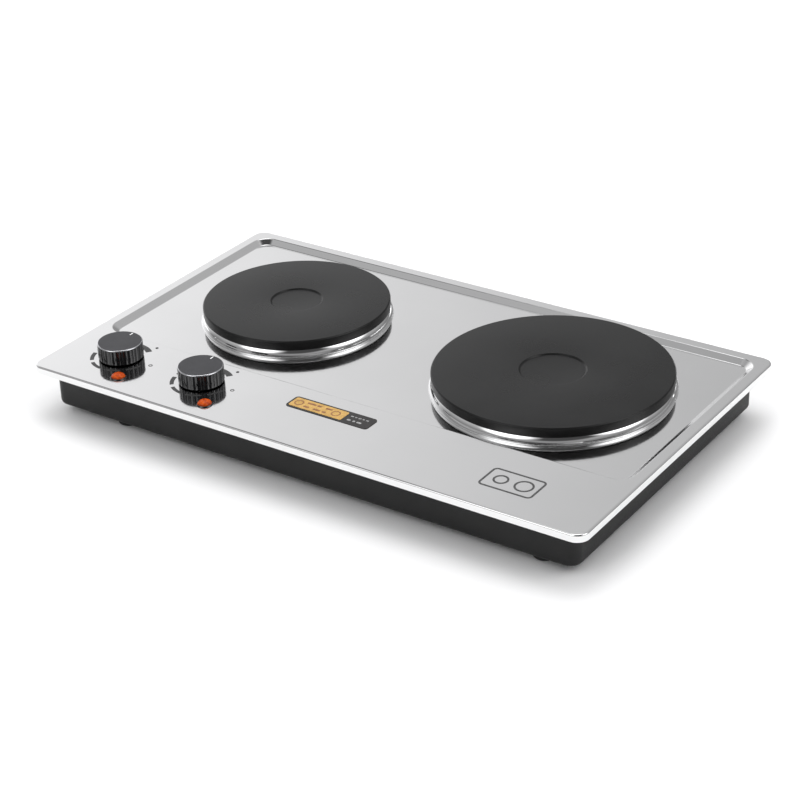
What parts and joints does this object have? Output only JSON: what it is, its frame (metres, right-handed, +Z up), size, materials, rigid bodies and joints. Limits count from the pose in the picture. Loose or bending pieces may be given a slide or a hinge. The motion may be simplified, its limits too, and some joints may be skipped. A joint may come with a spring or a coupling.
{
  "type": "electric hot plate",
  "caption": "Countertop electric hot plate with a polished steel top, a larger and a smaller cast-iron plate, and turning thermostat knobs with indicator lamps.",
  "frame": {"origin": "on the surface it stands on, under the middle of the top panel", "axes": "+X to the right along the length, +Y to the back, +Z up"},
  "size_m": [0.5, 0.3, 0.057],
  "materials": {
    "stainless": "polished, with a faint brushed grain",
    "polished_steel": "bright polished",
    "plated_steel": "zinc plated",
    "aluminised_sheet": "dull sheet",
    "spring_steel": "satin",
    "tray_paint": "semi-matte black powder coat",
    "foot_rubber": "matte",
    "gland_rubber": "matte",
    "cast_iron": "black satin coating",
    "resistance_wire": "heat tinted",
    "ceramic_cement": "fired magnesia cement, matte",
    "ceramic_white": "unglazed steatite",
    "moulded_plastic": "matte moulded",
    "pale_plastic": "matte moulded",
    "phenolic": "brown phenolic moulding",
    "knob_plastic": "glossy ribbed side, satin face",
    "pointer_white": "inlaid white",
    "contact_brass": "plain",
    "lens_orange": "clear orange moulding",
    "neon_glass": "clear tube",
    "label_black": "gloss film",
    "label_amber": "printed film",
    "print_grey": "screen print",
    "print_dark": "screen print",
    "wire_brown": "silicone sleeve",
    "wire_blue": "silicone sleeve",
    "wire_green": "silicone sleeve"
  },
  "bodies": {
    "case": {"top_panel": "stainless", "base_tray": "tray_paint", "support_pillars": "plated_steel", "case_screws": "plated_steel", "rubber_feet": "foot_rubber", "foot_screws": "plated_steel", "foot_nuts": "plated_steel", "heat_shields": "aluminised_sheet", "cable_gland": "gland_rubber", "cord_clamp": "moulded_plastic", "mains_terminal_block": "pale_plastic", "floor_screws": "plated_steel", "front_label": "label_black", "label_window": "label_amber", "dial_marks": "print_grey", "front_pictogram": "print_dark", "left_hot_plate": "cast_iron", "left_trim_ring": "polished_steel", "left_heating_coil": "resistance_wire", "left_insulating_ring": "ceramic_cement", "left_plate_cover": "aluminised_sheet", "left_plate_bracket": "plated_steel", "left_coil_terminal": "ceramic_white", "right_hot_plate": "cast_iron", "right_trim_ring": "polished_steel", "right_heating_coil": "resistance_wire", "right_insulating_ring": "ceramic_cement", "right_plate_cover": "aluminised_sheet", "right_plate_bracket": "plated_steel", "right_coil_terminal": "ceramic_white", "plate_studs": "plated_steel", "plate_nuts": "plated_steel", "plate_spacers": "plated_steel", "left_thermostat_housing": "phenolic", "left_thermostat_cover": "plated_steel", "left_contact_blade": "contact_brass", "right_thermostat_housing": "phenolic", "right_thermostat_cover": "plated_steel", "right_contact_blade": "contact_brass", "thermostat_screws": "plated_steel", "thermostat_terminals": "contact_brass", "lamp_lenses": "lens_orange", "lamp_bezels": "polished_steel", "neon_lamps": "neon_glass", "lamp_clips": "spring_steel", "live_wires": "wire_brown", "neutral_wires": "wire_blue", "earth_wire": "wire_green"},
    "left_control": {"left_knob": "knob_plastic", "left_knob_pointer": "pointer_white", "left_knob_clip": "spring_steel", "left_spindle": "plated_steel", "left_cam": "pale_plastic"},
    "left_follower": {"left_cam_follower": "ceramic_white"},
    "right_control": {"right_knob": "knob_plastic", "right_knob_pointer": "pointer_white", "right_knob_clip": "spring_steel", "right_spindle": "plated_steel", "right_cam": "pale_plastic"},
    "right_follower": {"right_cam_follower": "ceramic_white"}
  },
  "joints": [
    {"name": "left_knob_turn", "type": "hinge", "parent": "case", "child": "left_control", "pos_m": [-0.196, -0.103, 0.043], "axis": [0, 0, 1], "range_deg": [-30, 270]},
    {"name": "left_follower_slide", "type": "slide", "parent": "case", "child": "left_follower", "axis": [0, 1, 0], "range_m": [-0.00272, 0.00032]},
    {"name": "right_knob_turn", "type": "hinge", "parent": "case", "child": "right_control", "pos_m": [-0.1145, -0.103, 0.043], "axis": [0, 0, 1], "range_deg": [-30, 270]},
    {"name": "right_follower_slide", "type": "slide", "parent": "case", "child": "right_follower", "axis": [0, 1, 0], "range_m": [-0.00272, 0.00032]}
  ],
  "couplings": [
    {"joint": "left_follower_slide", "follows": "left_knob_turn", "m_per_rad": -0.00057296},
    {"joint": "right_follower_slide", "follows": "right_knob_turn", "m_per_rad": -0.00057296}
  ]
}
